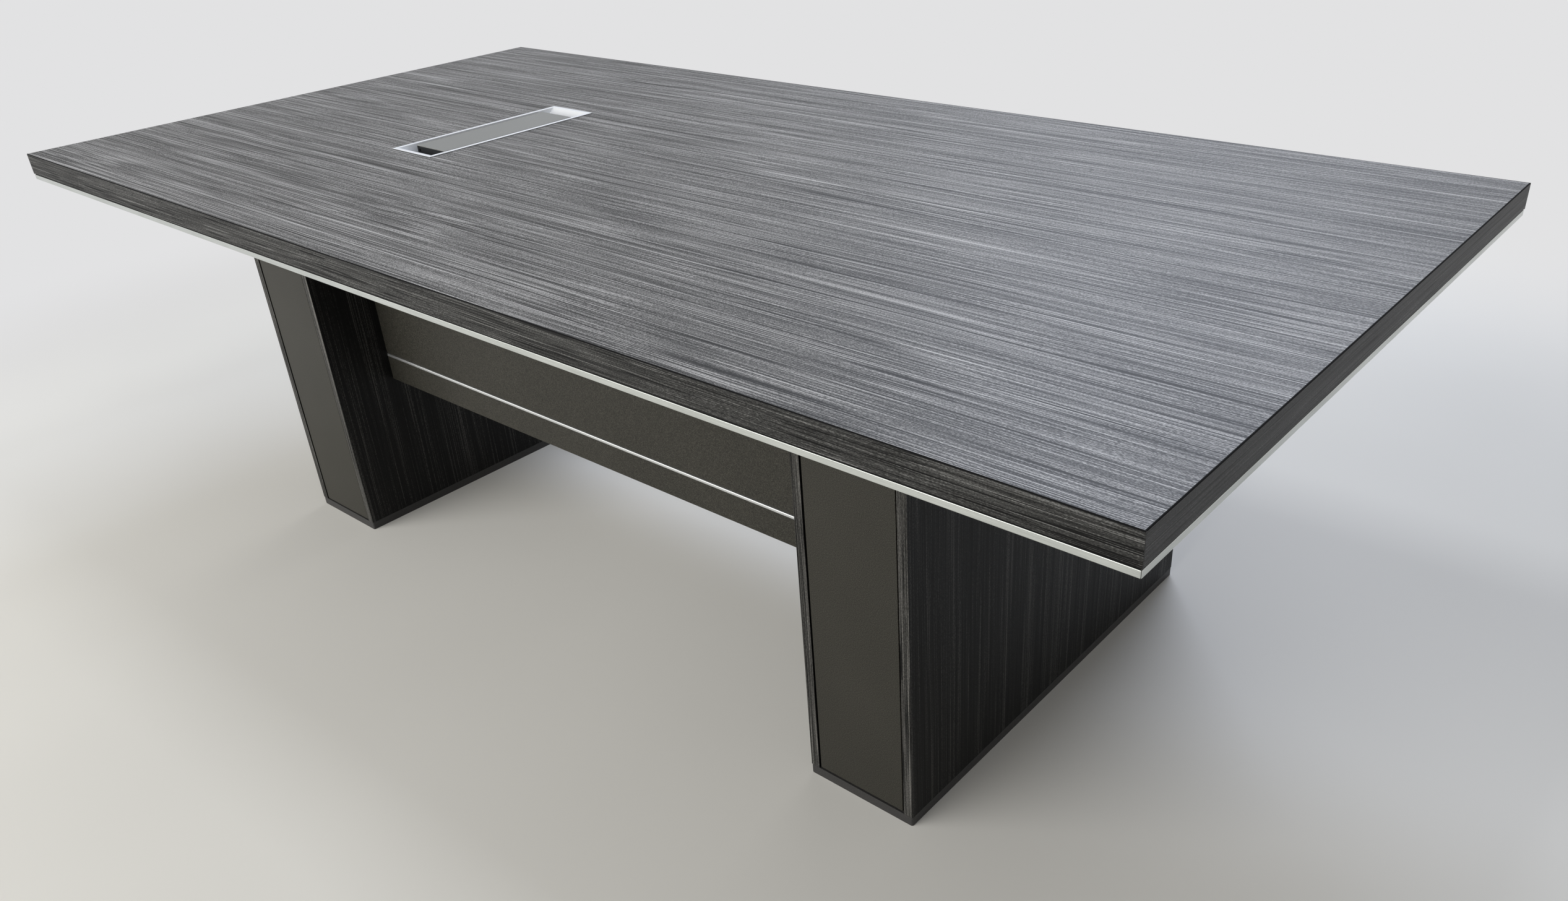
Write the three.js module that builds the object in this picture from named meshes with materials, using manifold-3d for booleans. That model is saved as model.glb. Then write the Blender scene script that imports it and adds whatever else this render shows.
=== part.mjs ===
// Conference table: a laminate top on two slab pedestals that are tied by two stretchers, with a
// lidded power module let into the top at the left.
// Millimetres, +Z up. The origin is on the floor under the middle of the top. +X runs along the
// top's length, and the front long edge is at -Y.
import * as THREE from 'three';
import { mergeVertices } from 'three/addons/utils/BufferGeometryUtils.js';
import ManifoldModule from 'manifold-3d';

// Top
const TOP_LENGTH = 2438;
const TOP_WIDTH = 1219;
const TOP_HEIGHT = 760;
const TOP_THICKNESS = 40;
const BAND_THICKNESS = 2;
const BAND_ROUND = 1.5;
const TRIM_HEIGHT = 10;
const TRIM_WALL = 2;
const TRIM_FLANGE = 20;
const TRIM_SETBACK = 0.5;
const TRIM_CORNER_GAP = 1;

// Pedestals
const PEDESTAL_SPACING = 1226;
const PEDESTAL_WIDTH = 194;
const PEDESTAL_DEPTH = 818;
const SIDE_THICKNESS = 16;
const END_THICKNESS = 16;
const END_SEAM = 2.5;
const END_RECESS = 1;
const SPREADER_THICKNESS = 16;
const BASE_HEIGHT = 16;
const BASE_CORNER_RADIUS = 3;
const CLEAT_LEG = 40;
const CLEAT_WALL = 3;
const CLEAT_LENGTH = 500;

// Levelling feet, wound right in at rest
const FOOT_RADIUS = 15;
const FOOT_HEIGHT = 8;
const FOOT_CHAMFER = 2;
const STUD_RADIUS = 5;
const STUD_LENGTH = 36;
const FOOT_SIDE_CLEARANCE = 1;
const FOOT_TOP_CLEARANCE = 0.5;
const STUD_CLEARANCE = 0.3;
const FOOT_INSET_X = 29;
const FOOT_INSET_Y = 46;

// Stretchers
const STRETCHER_SPACING = 570;
const STRETCHER_THICKNESS = 18;
const STRETCHER_BOTTOM = 304;
const LOWER_PANEL_HEIGHT = 50.5;
const STRIP_HEIGHT = 6;
const STRIP_PROUD = 0.5;
const SHADOW_GAP = 1.5;
const SHADOW_DEPTH = 5;
const BRACKET_LEG = 30;
const BRACKET_WALL = 3;
const BRACKET_HEIGHT = 160;
const BRACKET_BELOW_TOP = 80;

// Power module
const MODULE_FROM_PEDESTAL = 103;
const BEZEL_WIDTH = 123;
const BEZEL_LENGTH = 391;
const BEZEL_LIP = 8;
const BEZEL_RISE = 1.25;
const BEZEL_WALL = 2;
const BEZEL_DROP = 38;
const SCOOP_DROP = 19;
const CUTOUT_CLEARANCE = 0.5;
const HOUSING_HEIGHT = 70;
const HOUSING_WALL = 2;
const CLAMP_WIDTH = 24;
const CLAMP_WALL = 3;
const CLAMP_DROP = 30;
const CLAMP_BEARING = 25;

// Lid and its hinge
const LID_SIDE_GAP = 7;
const LID_END_GAP = 36;
const CORD_GAP = 9;
const LID_PLATE = 2;
const LID_SKIRT = 12;
const LID_WALL = 2;
const HINGE_INSET = 8;
const HINGE_DROP = 9;
const ROD_RADIUS = 2;
const ROD_CLEARANCE = 0.25;
const BOSS_THICKNESS = 4;
const BOSS_HALF = 5;
const ARM_RADIUS = 4.5;
const ARM_THICKNESS = 5;
const ARM_SIDE_CLEARANCE = 0.5;
const ARM_REACH = 10;
const POST_WIDTH = 8;
const REST_WIDTH = 6;
const REST_CLEARANCE = 0.3;
const SILL_HEIGHT = 4;

// Sockets
const SOCKET_DEPTH = 68;
const SOCKET_PLATE = 2;
const INSERT_FLANGE = 2;
const INSERT_CLEARANCE = 0.5;
const OUTLET_FACE = [36, 70];
const OUTLET_BODY = [33, 66];
const OUTLET_DEPTH = 24;
const OUTLET_SPACING = 150;
const RECEPTACLE_SPACING = 36;
const BLADE_SLOT = [2.4, 8];
const BLADE_SPACING = 12.7;
const BLADE_OFFSET = 3;
const GROUND_RADIUS = 2.5;
const GROUND_OFFSET = 8;
const SLOT_DEPTH = 16;
const COMMS_FACE = [36, 56];
const COMMS_BODY = [33, 50];
const DATA_SOCKET = [12, 9];
const USB_SOCKET = [12.5, 5];
const DATA_PLACE = 15;
const USB_PLACE = 3.5;
const COMMS_SOCKET_DEPTH = 14;
const INLET_FACE = [32, 26];
const INLET_BODY = [28, 22];
const INLET_RECESS = [24, 17];
const INLET_DEPTH = 22;
const INLET_RECESS_DEPTH = 16;
const INLET_Y = 110;
const INLET_HEIGHT = 20;

// Roundness, and how far a cut runs past the face it opens
const ROUND_SIDES = 24;
const CORNER_STEPS = 4;
const CUT_PAST = 1;

// Finishes
const laminate = finish(0x6e6e70, 0.45, 0);
const edgeLaminate = finish(0x454443, 0.5, 0);
const sideLaminate = finish(0x3a3938, 0.5, 0);
const taupe = finish(0x4e4b46, 0.6, 0);
const blackBoard = finish(0x262526, 0.7, 0);
const aluminium = finish(0xd2d6d0, 0.35, 1);
const zincSteel = finish(0xa9acae, 0.4, 1);
const whiteMoulding = finish(0xebeef2, 0.4, 0);
const greyPaint = finish(0x969894, 0.5, 0);
const blackPlastic = finish(0x1d1d1e, 0.5, 0);
const boxSteel = finish(0x8f9194, 0.45, 1);

// Levels and places that follow from the sizes above
const topUnderside = snap(TOP_HEIGHT - TOP_THICKNESS);
const halfLength = snap(TOP_LENGTH / 2);
const halfWidth = snap(TOP_WIDTH / 2);
const pedestalIn = snap(PEDESTAL_SPACING / 2);
const pedestalHalfWidth = snap(PEDESTAL_WIDTH / 2);
const pedestalHalfDepth = snap(PEDESTAL_DEPTH / 2);
const pedestalX = pedestalIn + pedestalHalfWidth;
const moduleX = snap(MODULE_FROM_PEDESTAL - pedestalIn);
const lipTop = snap(TOP_HEIGHT + BEZEL_RISE);
const openHalfWidth = snap(BEZEL_WIDTH / 2 - BEZEL_LIP);
const openHalfLength = snap(BEZEL_LENGTH / 2 - BEZEL_LIP);
const wallHalfWidth = snap(openHalfWidth + BEZEL_WALL);
const wallHalfLength = snap(openHalfLength + BEZEL_WALL);
const lidHalfWidth = snap(openHalfWidth - LID_SIDE_GAP);
const lidHalfLength = snap(openHalfLength - LID_END_GAP);
const bayHalfLength = snap(lidHalfLength + CORD_GAP);
const housingTop = snap(TOP_HEIGHT - BEZEL_DROP);
const housingHalfLength = snap(bayHalfLength + HOUSING_WALL);
const housingHalfWidth = snap(openHalfWidth + HOUSING_WALL);
const plateTop = snap(TOP_HEIGHT - SOCKET_DEPTH);
const skirtTop = snap(TOP_HEIGHT - LID_PLATE);
const skirtBottom = snap(skirtTop - LID_SKIRT);
const hingeX = snap(HINGE_INSET - lidHalfWidth);
const hingeZ = snap(TOP_HEIGHT - HINGE_DROP);

const wasm = await ManifoldModule();
wasm.setup();

const table = new THREE.Group();
table.add(makeTop());
for (const side of [-1, 1]) table.add(makePedestal(side));
for (const side of [-1, 1]) table.add(makeStretcher(side));
table.add(makeModule());

function finish(color, roughness, metalness) {
  return new THREE.MeshStandardMaterial({ color, roughness, metalness });
}

// Coordinates lie on a fine grid, so that faces which meet share the same numbers exactly.
function snap(value) {
  const steps = 64;
  return Math.round(value * steps) / steps;
}

function add(group, name, material, geometry) {
  const mesh = new THREE.Mesh(geometry, material);
  mesh.name = name;
  group.add(mesh);
}

function boxGeometry(x, y, z) {
  const low = [x[0], y[0], z[0]].map(snap);
  const high = [x[1], y[1], z[1]].map(snap);
  const size = high.map((value, i) => value - low[i]);
  const centre = high.map((value, i) => (value + low[i]) / 2);
  return new THREE.BoxGeometry(...size).translate(...centre);
}

// A range from a to b, in rising order, mirrored to the negative side when side is -1.
function span(side, a, b) {
  return side > 0 ? [a, b] : [-b, -a];
}

function outline(points) {
  return new THREE.Shape(points.map(([u, v]) => new THREE.Vector2(snap(u), snap(v))));
}

function rectangle(halfU, halfV, centreU = 0, centreV = 0) {
  const corners = [[-1, -1], [1, -1], [1, 1], [-1, 1]];
  return corners.map(([u, v]) => [centreU + u * halfU, centreV + v * halfV]);
}

// A prism of a section, from start to end along one axis. The section's u and v run along the
// next two axes in turn: Y and Z for X, Z and X for Y, X and Y for Z.
function prism(shape, axis, start, end) {
  const low = snap(start);
  const depth = snap(end) - low;
  const settings = { depth, bevelEnabled: false, curveSegments: CORNER_STEPS };
  const geometry = new THREE.ExtrudeGeometry(shape, settings).translate(0, 0, low);
  const units = [new THREE.Vector3(1, 0, 0), new THREE.Vector3(0, 1, 0), new THREE.Vector3(0, 0, 1)];
  const first = 'xyz'.indexOf(axis) + 1;
  const basis = [0, 1, 2].map((i) => units[(first + i) % 3]);
  return geometry.applyMatrix4(new THREE.Matrix4().makeBasis(...basis));
}

function solid(geometry) {
  const bare = geometry.clone();
  bare.deleteAttribute('normal');
  bare.deleteAttribute('uv');
  const merged = mergeVertices(bare, 1e-4);
  const vertProperties = new Float32Array(merged.attributes.position.array);
  const triVerts = new Uint32Array(merged.index.array);
  return new wasm.Manifold(new wasm.Mesh({ numProp: 3, vertProperties, triVerts }));
}

function fromSolid(body) {
  const mesh = body.getMesh();
  const geometry = new THREE.BufferGeometry();
  geometry.setAttribute('position', new THREE.BufferAttribute(new Float32Array(mesh.vertProperties), 3));
  geometry.setIndex(new THREE.BufferAttribute(new Uint32Array(mesh.triVerts), 1));
  geometry.computeVertexNormals();
  return geometry;
}

// A first solid, with more joined to it and others cut away.
function carve(base, joined, cut) {
  let body = solid(base);
  for (const geometry of joined) body = body.add(solid(geometry));
  for (const geometry of cut) body = body.subtract(solid(geometry));
  return fromSolid(body);
}

// A turned shape from radius and height pairs, which start and end on the upright axis.
function turned(profile, x, y) {
  const points = profile.map(([radius, height]) => new THREE.Vector2(radius, height));
  const geometry = new THREE.LatheGeometry(points, ROUND_SIDES);
  return geometry.rotateX(Math.PI / 2).translate(snap(x), snap(y), 0);
}

// The four sides of the top, with the way inwards from each outer face.
function topSides() {
  return [
    { name: 'front', inward: [0, 1, 0], along: [1, 0, 0], reach: halfWidth, half: halfLength },
    { name: 'back', inward: [0, -1, 0], along: [-1, 0, 0], reach: halfWidth, half: halfLength },
    { name: 'left', inward: [1, 0, 0], along: [0, -1, 0], reach: halfLength, half: halfWidth },
    { name: 'right', inward: [-1, 0, 0], along: [0, 1, 0], reach: halfLength, half: halfWidth },
  ];
}

// A strip along one side of the top. Its section is given as distance inwards and height, and
// mitred ends shorten it by as much as each point lies inwards.
function sideRun(side, section, half, mitred) {
  const end = snap(half);
  const geometry = prism(section, 'z', -end, end);
  const position = geometry.attributes.position;
  for (let i = 0; mitred && i < position.count; i += 1) {
    const shorter = Math.abs(position.getZ(i)) - position.getX(i);
    position.setZ(i, Math.sign(position.getZ(i)) * shorter);
  }
  const inward = new THREE.Vector3(...side.inward);
  const up = new THREE.Vector3(0, 0, 1);
  const along = new THREE.Vector3(...side.along);
  const place = new THREE.Matrix4().makeBasis(inward, up, along);
  place.setPosition(inward.multiplyScalar(-snap(side.reach)));
  geometry.applyMatrix4(place);
  return geometry;
}

// Top: board, edge bands and aluminium trim
function makeTop() {
  const group = new THREE.Group();
  const board = outline(rectangle(halfLength - BAND_THICKNESS, halfWidth - BAND_THICKNESS));
  const cutHalfWidth = wallHalfWidth + CUTOUT_CLEARANCE;
  const cutHalfLength = wallHalfLength + CUTOUT_CLEARANCE;
  board.holes.push(outline(rectangle(cutHalfWidth, cutHalfLength, moduleX, 0)));
  add(group, 'tabletop_panel', laminate, prism(board, 'z', topUnderside, TOP_HEIGHT));
  for (const side of topSides()) {
    const across = side.name === 'left' || side.name === 'right';
    const bandHalf = across ? side.half - BAND_THICKNESS : side.half;
    add(group, `edge_band_${side.name}`, edgeLaminate, sideRun(side, bandSection(), bandHalf, false));
    const trimSide = { ...side, reach: side.reach - TRIM_SETBACK };
    const trimHalf = side.half - TRIM_SETBACK - TRIM_CORNER_GAP;
    add(group, `trim_${side.name}`, aluminium, sideRun(trimSide, trimSection(), trimHalf, true));
  }
  return group;
}

function bandSection() {
  const section = new THREE.Shape();
  section.moveTo(0, snap(topUnderside));
  section.lineTo(snap(BAND_THICKNESS), snap(topUnderside));
  section.lineTo(snap(BAND_THICKNESS), snap(TOP_HEIGHT));
  section.lineTo(BAND_ROUND, snap(TOP_HEIGHT));
  section.absarc(BAND_ROUND, TOP_HEIGHT - BAND_ROUND, BAND_ROUND, Math.PI / 2, Math.PI, false);
  return section;
}

function trimSection() {
  const bottom = topUnderside - TRIM_HEIGHT;
  const flangeUnder = topUnderside - TRIM_WALL;
  return outline([
    [0, bottom], [TRIM_WALL, bottom], [TRIM_WALL, flangeUnder],
    [TRIM_FLANGE, flangeUnder], [TRIM_FLANGE, topUnderside], [0, topUnderside],
  ]);
}

// Pedestal: side boards, end panels on spreaders, base with feet, and cleats to the top. The end
// panels lie a little behind the boards' edges, with a dark seam at both sides and above the base.
// The group stands at the middle of the base, and side tells which way its outer face looks.
function makePedestal(side) {
  const group = new THREE.Group();
  group.position.x = side * pedestalX;
  const name = side < 0 ? 'left' : 'right';
  const boards = [['inner', -side], ['outer', side]];
  const ends = [['front', -1], ['back', 1]];
  const depth = [-pedestalHalfDepth, pedestalHalfDepth];
  const height = [BASE_HEIGHT, topUnderside];
  const endHeight = [BASE_HEIGHT + END_SEAM, topUnderside];
  const boardFace = pedestalHalfWidth - SIDE_THICKNESS;
  const endHalf = boardFace - END_SEAM;
  const endFace = pedestalHalfDepth - END_RECESS;
  const endRear = endFace - END_THICKNESS;
  const spreaderRear = endRear - SPREADER_THICKNESS;
  for (const [board, way] of boards) {
    const panel = boxGeometry(span(way, boardFace, pedestalHalfWidth), depth, height);
    add(group, `${name}_${board}_panel`, sideLaminate, panel);
    const cleat = cleatSection(way, boardFace);
    add(group, `${name}_${board}_cleat`, zincSteel, prism(cleat, 'y', -CLEAT_LENGTH / 2, CLEAT_LENGTH / 2));
  }
  for (const [end, way] of ends) {
    const panel = boxGeometry([-endHalf, endHalf], span(way, endRear, endFace), endHeight);
    add(group, `${name}_${end}_panel`, taupe, panel);
    const spreader = boxGeometry([-boardFace, boardFace], span(way, spreaderRear, endRear), height);
    add(group, `${name}_${end}_spreader`, blackBoard, spreader);
  }
  addBase(group, name);
  return group;
}

// Section of a cleat in the Z, X plane: one leg on the side board, the other under the top.
function cleatSection(way, boardFace) {
  const points = angleOutline(CLEAT_LEG, CLEAT_WALL);
  return outline(points.map(([u, v]) => [topUnderside - u, way * (boardFace - v)]));
}

// Outline of an angle iron with its outer corner at the origin.
function angleOutline(leg, wall) {
  return [[0, 0], [leg, 0], [leg, wall], [wall, wall], [wall, leg], [0, leg]];
}

// Base plate with a stepped bore for each levelling foot, and the feet
function addBase(group, name) {
  const footX = pedestalHalfWidth - FOOT_INSET_X;
  const footY = pedestalHalfDepth - FOOT_INSET_Y;
  const places = [[-footX, -footY], [footX, -footY], [-footX, footY], [footX, footY]];
  const seatRadius = FOOT_RADIUS + FOOT_SIDE_CLEARANCE;
  const seatTop = FOOT_HEIGHT + FOOT_TOP_CLEARANCE;
  const boreRadius = STUD_RADIUS + STUD_CLEARANCE;
  const bore = [
    [0, -CUT_PAST], [seatRadius, -CUT_PAST], [seatRadius, seatTop],
    [boreRadius, seatTop], [boreRadius, BASE_HEIGHT + CUT_PAST], [0, BASE_HEIGHT + CUT_PAST],
  ];
  const shape = roundedRectangle(pedestalHalfWidth, pedestalHalfDepth, BASE_CORNER_RADIUS);
  const bores = places.map(([x, y]) => turned(bore, x, y));
  add(group, `${name}_base_plate`, blackBoard, carve(prism(shape, 'z', 0, BASE_HEIGHT), [], bores));
  const studTop = FOOT_HEIGHT + STUD_LENGTH;
  const foot = [
    [0, 0], [FOOT_RADIUS - FOOT_CHAMFER, 0], [FOOT_RADIUS, FOOT_CHAMFER], [FOOT_RADIUS, FOOT_HEIGHT],
    [STUD_RADIUS, FOOT_HEIGHT], [STUD_RADIUS, studTop], [0, studTop],
  ];
  places.forEach(([x, y], i) => add(group, `${name}_leveller_${i + 1}`, zincSteel, turned(foot, x, y)));
}

function roundedRectangle(halfX, halfY, radius) {
  const shape = new THREE.Shape();
  const corners = [[1, -1, -90], [1, 1, 0], [-1, 1, 90], [-1, -1, 180]];
  for (const [x, y, start] of corners) {
    const angle = THREE.MathUtils.degToRad(start);
    const centre = [x * (halfX - radius), y * (halfY - radius)];
    shape.absarc(...centre, radius, angle, angle + Math.PI / 2, false);
  }
  return shape;
}

// Stretcher: two panels with an aluminium strip between them, and an angle at each end
function makeStretcher(side) {
  const group = new THREE.Group();
  const name = side < 0 ? 'front' : 'back';
  const face = snap(STRETCHER_SPACING / 2);
  const rear = snap(face - STRETCHER_THICKNESS);
  const length = [-pedestalIn, pedestalIn];
  const stripBottom = STRETCHER_BOTTOM + LOWER_PANEL_HEIGHT;
  const stripTop = stripBottom + STRIP_HEIGHT;
  const upperBottom = stripTop + SHADOW_GAP;
  const depth = span(side, rear, face);
  const lower = boxGeometry(length, depth, [STRETCHER_BOTTOM, stripBottom]);
  add(group, `${name}_stretcher_lower`, taupe, lower);
  const upper = boxGeometry(length, depth, [upperBottom, topUnderside]);
  add(group, `${name}_stretcher_upper`, taupe, upper);
  const stepBack = face - SHADOW_DEPTH;
  const section = [
    [rear, stripBottom], [face + STRIP_PROUD, stripBottom], [face + STRIP_PROUD, stripTop],
    [stepBack, stripTop], [stepBack, upperBottom], [rear, upperBottom],
  ].map(([y, z]) => [side * y, z]);
  add(group, `${name}_stretcher_strip`, aluminium, prism(outline(section), 'x', ...length));

  const bracketTop = topUnderside - BRACKET_BELOW_TOP;
  for (const [end, way] of [['left', -1], ['right', 1]]) {
    const points = angleOutline(BRACKET_LEG, BRACKET_WALL);
    const bracket = outline(points.map(([u, v]) => [way * (pedestalIn - u), side * (rear - v)]));
    const angle = prism(bracket, 'z', bracketTop - BRACKET_HEIGHT, bracketTop);
    add(group, `stretcher_bracket_${name}_${end}`, zincSteel, angle);
  }
  return group;
}

// Power module: bezel, housing, clamps, sockets, hinge and lid. Its group stands over the middle
// of the cut-out, so places along X are measured from there.
function makeModule() {
  const group = new THREE.Group();
  group.position.x = moduleX;
  addBezel(group);
  addHousing(group);
  addClamps(group);
  addSockets(group);
  addLid(group);
  return group;
}

// The bezel's lip lies on the top. Its long walls go straight down through the cut-out, and its
// end walls slope in, so that cords lie easily over them.
function addBezel(group) {
  const lip = boxGeometry(
    [-BEZEL_WIDTH / 2, BEZEL_WIDTH / 2],
    [-BEZEL_LENGTH / 2, BEZEL_LENGTH / 2],
    [TOP_HEIGHT, lipTop],
  );
  const scoopBottom = TOP_HEIGHT - SCOOP_DROP;
  const scoopUnder = scoopBottom - BEZEL_RISE;
  const outerTop = [wallHalfLength, TOP_HEIGHT];
  const outside = hopper(outerTop, [housingHalfLength, scoopUnder], housingTop, lipTop);
  const innerTop = [openHalfLength, lipTop];
  const innerEnds = [housingTop - CUT_PAST, lipTop + CUT_PAST];
  const inside = hopper(innerTop, [bayHalfLength, scoopBottom], ...innerEnds);
  const plug = prism(outside, 'x', -wallHalfWidth, wallHalfWidth);
  const hollow = prism(inside, 'x', -openHalfWidth, openHalfWidth);
  add(group, 'module_bezel', whiteMoulding, carve(lip, [plug], [hollow]));
}

// Section of the bezel along its length: wide at the top, drawn in by sloping ends below.
function hopper(slopeTop, slopeBottom, bottom, top) {
  const right = [[slopeBottom[0], bottom], slopeBottom, slopeTop, [slopeTop[0], top]];
  const left = right.map(([y, z]) => [-y, z]).reverse();
  return outline([...right, ...left]);
}

// Housing box under the bezel, with the appliance inlet in its wall
function addHousing(group) {
  const bottom = housingTop - HOUSING_HEIGHT;
  const outside = boxGeometry(
    [-housingHalfWidth, housingHalfWidth],
    [-housingHalfLength, housingHalfLength],
    [bottom, housingTop],
  );
  const inside = boxGeometry(
    [-openHalfWidth, openHalfWidth],
    [-bayHalfLength, bayHalfLength],
    [bottom + HOUSING_WALL, housingTop + CUT_PAST],
  );
  const inletZ = bottom + INLET_HEIGHT;
  const wallOut = housingHalfWidth;
  const wallCut = [openHalfWidth - CUT_PAST, wallOut + CUT_PAST];
  const hole = inletBox(INLET_BODY, INSERT_CLEARANCE, wallCut, inletZ);
  add(group, 'module_housing', boxSteel, carve(outside, [], [inside, hole]));

  const mouth = wallOut + INSERT_FLANGE;
  const face = inletBox(INLET_FACE, 0, [wallOut, mouth], inletZ);
  const body = inletBox(INLET_BODY, 0, [wallOut - INLET_DEPTH, mouth], inletZ);
  const recess = inletBox(INLET_RECESS, 0, [mouth - INLET_RECESS_DEPTH, mouth + CUT_PAST], inletZ);
  add(group, 'power_inlet', blackPlastic, carve(face, [body], [recess]));
}

// Clamps from the housing's ends to the underside of the top, past the cut-out
function addClamps(group) {
  const near = housingHalfLength;
  const far = wallHalfLength + CUTOUT_CLEARANCE + CLAMP_BEARING;
  const foot = topUnderside - CLAMP_DROP;
  const under = topUnderside - CLAMP_WALL;
  for (const [name, side] of [['front', -1], ['back', 1]]) {
    const section = [
      [near, foot], [near + CLAMP_WALL, foot], [near + CLAMP_WALL, under],
      [far, under], [far, topUnderside], [near, topUnderside],
    ].map(([y, z]) => [side * y, z]);
    const clamp = prism(outline(section), 'x', -CLAMP_WIDTH / 2, CLAMP_WIDTH / 2);
    add(group, `module_clamp_${name}`, zincSteel, clamp);
  }
}

// A block of the inlet's given face size, grown by a clearance, between two places along X.
function inletBox(face, clearance, x, z) {
  const halfY = face[0] / 2 + clearance;
  const halfZ = face[1] / 2 + clearance;
  return boxGeometry(x, [INLET_Y - halfY, INLET_Y + halfY], [z - halfZ, z + halfZ]);
}

// Socket plate between the housing's long walls, with two mains outlets and a comms insert
function addSockets(group) {
  const outlets = [['outlet_front', -OUTLET_SPACING / 2], ['outlet_back', OUTLET_SPACING / 2]];
  const faceTop = plateTop + INSERT_FLANGE;
  const bodyHeight = [plateTop - OUTLET_DEPTH, faceTop];
  const plateHalf = lidHalfLength - LID_WALL;
  const plateHeight = [plateTop - SOCKET_PLATE, plateTop];
  const plate = boxGeometry([-openHalfWidth, openHalfWidth], [-plateHalf, plateHalf], plateHeight);
  const through = [plateHeight[0] - CUT_PAST, plateTop + CUT_PAST];
  const holes = outlets.map(([, y]) => insertBox(OUTLET_BODY, INSERT_CLEARANCE, [0, y], through));
  holes.push(insertBox(COMMS_BODY, INSERT_CLEARANCE, [0, 0], through));
  add(group, 'socket_plate', boxSteel, carve(plate, [], holes));

  for (const [name, y] of outlets) {
    const slots = [-1, 1].flatMap((way) => receptacle(y + way * RECEPTACLE_SPACING / 2, faceTop));
    const face = insertBox(OUTLET_FACE, 0, [0, y], [plateTop, faceTop]);
    const body = insertBox(OUTLET_BODY, 0, [0, y], bodyHeight);
    add(group, name, blackPlastic, carve(face, [body], slots));
  }

  const face = insertBox(COMMS_FACE, 0, [0, 0], [plateTop, faceTop]);
  const body = insertBox(COMMS_BODY, 0, [0, 0], bodyHeight);
  const deep = [faceTop - COMMS_SOCKET_DEPTH, faceTop + CUT_PAST];
  const sockets = [-1, 1].flatMap((way) => [
    insertBox(DATA_SOCKET, 0, [0, way * DATA_PLACE], deep),
    insertBox(USB_SOCKET, 0, [0, way * USB_PLACE], deep),
  ]);
  add(group, 'comms_insert', blackPlastic, carve(face, [body], sockets));
}

// A block of the given face size, grown by a clearance, at a place on the socket plate.
function insertBox(face, clearance, [x, y], z) {
  const halfX = face[0] / 2 + clearance;
  const halfY = face[1] / 2 + clearance;
  return boxGeometry([x - halfX, x + halfX], [y - halfY, y + halfY], z);
}

// Cuts for one grounded receptacle: two blade slots and a round ground hole.
function receptacle(y, faceTop) {
  const low = faceTop - SLOT_DEPTH;
  const high = faceTop + CUT_PAST;
  const blades = [-1, 1].map((way) => (
    insertBox(BLADE_SLOT, 0, [way * BLADE_SPACING / 2, y + BLADE_OFFSET], [low, high])
  ));
  const ground = [[0, low], [GROUND_RADIUS, low], [GROUND_RADIUS, high], [0, high]];
  return [...blades, turned(ground, 0, y - GROUND_OFFSET)];
}

// Lid on a long rod, which two brackets hold from inside the lid's skirt
function addLid(group) {
  const lidWidth = [-lidHalfWidth, lidHalfWidth];
  const lidLength = [-lidHalfLength, lidHalfLength];
  add(group, 'lid_plate', greyPaint, boxGeometry(lidWidth, lidLength, [skirtTop, TOP_HEIGHT]));

  const skirt = outline(rectangle(lidHalfWidth, lidHalfLength));
  const bossOut = lidHalfLength - LID_WALL;
  const bossIn = bossOut - BOSS_THICKNESS;
  skirt.holes.push(outline(rectangle(lidHalfWidth - LID_WALL, bossOut)));
  const bosses = [-1, 1].map((side) => boxGeometry(
    [LID_WALL / 2 - lidHalfWidth, hingeX + BOSS_HALF],
    span(side, bossIn, bossOut + LID_WALL / 2),
    [hingeZ - BOSS_HALF, skirtTop],
  ));
  const bore = roundBar(ROD_RADIUS + ROD_CLEARANCE, lidHalfLength + CUT_PAST);
  const skirtRing = prism(skirt, 'z', skirtBottom, skirtTop);
  add(group, 'lid_skirt', blackPlastic, carve(skirtRing, bosses, [bore]));
  add(group, 'lid_hinge_rod', zincSteel, roundBar(ROD_RADIUS, lidHalfLength - LID_WALL / 2));

  const armOut = bossIn - ARM_SIDE_CLEARANCE;
  const armIn = armOut - ARM_THICKNESS;
  for (const [name, side] of [['front', -1], ['back', 1]]) {
    const arm = prism(bracketSection(), 'y', ...span(side, armIn, armOut));
    add(group, `lid_bracket_${name}`, zincSteel, carve(arm, [], [bore]));
  }
}

// A round bar on the hinge line, as far to each side of the middle as half says.
function roundBar(radius, half) {
  return new THREE.CylinderGeometry(radius, radius, 2 * half, ROUND_SIDES).translate(hingeX, 0, hingeZ);
}

// Section of a lid bracket in the Z, X plane: a sill on the socket plate, a post with an arm that
// reaches to the rod, and a lower post that the closed lid rests on.
function bracketSection() {
  const postLeft = hingeX + ARM_REACH;
  const postRight = postLeft + POST_WIDTH;
  const restRight = lidHalfWidth + LID_WALL / 2;
  const restLeft = restRight - REST_WIDTH;
  const restTop = skirtBottom - REST_CLEARANCE;
  const sillTop = plateTop + SILL_HEIGHT;
  const shape = new THREE.Shape();
  shape.moveTo(snap(plateTop), postLeft);
  shape.lineTo(snap(hingeZ - ARM_RADIUS), postLeft);
  shape.lineTo(hingeZ - ARM_RADIUS, hingeX);
  shape.absarc(hingeZ, hingeX, ARM_RADIUS, Math.PI, 0, false);
  shape.lineTo(hingeZ + ARM_RADIUS, postRight);
  shape.lineTo(sillTop, postRight);
  shape.lineTo(sillTop, restLeft);
  shape.lineTo(restTop, restLeft);
  shape.lineTo(restTop, restRight);
  shape.lineTo(snap(plateTop), restRight);
  return shape;
}

export default table;
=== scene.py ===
# Looks of a conference table: its finishes, eased edges and small fittings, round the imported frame.
# Blender works in metres, +Z up. Sizes named here are in millimetres, unless their name says metres.
import math

import bmesh
import bpy
from mathutils import Matrix, Vector


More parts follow.
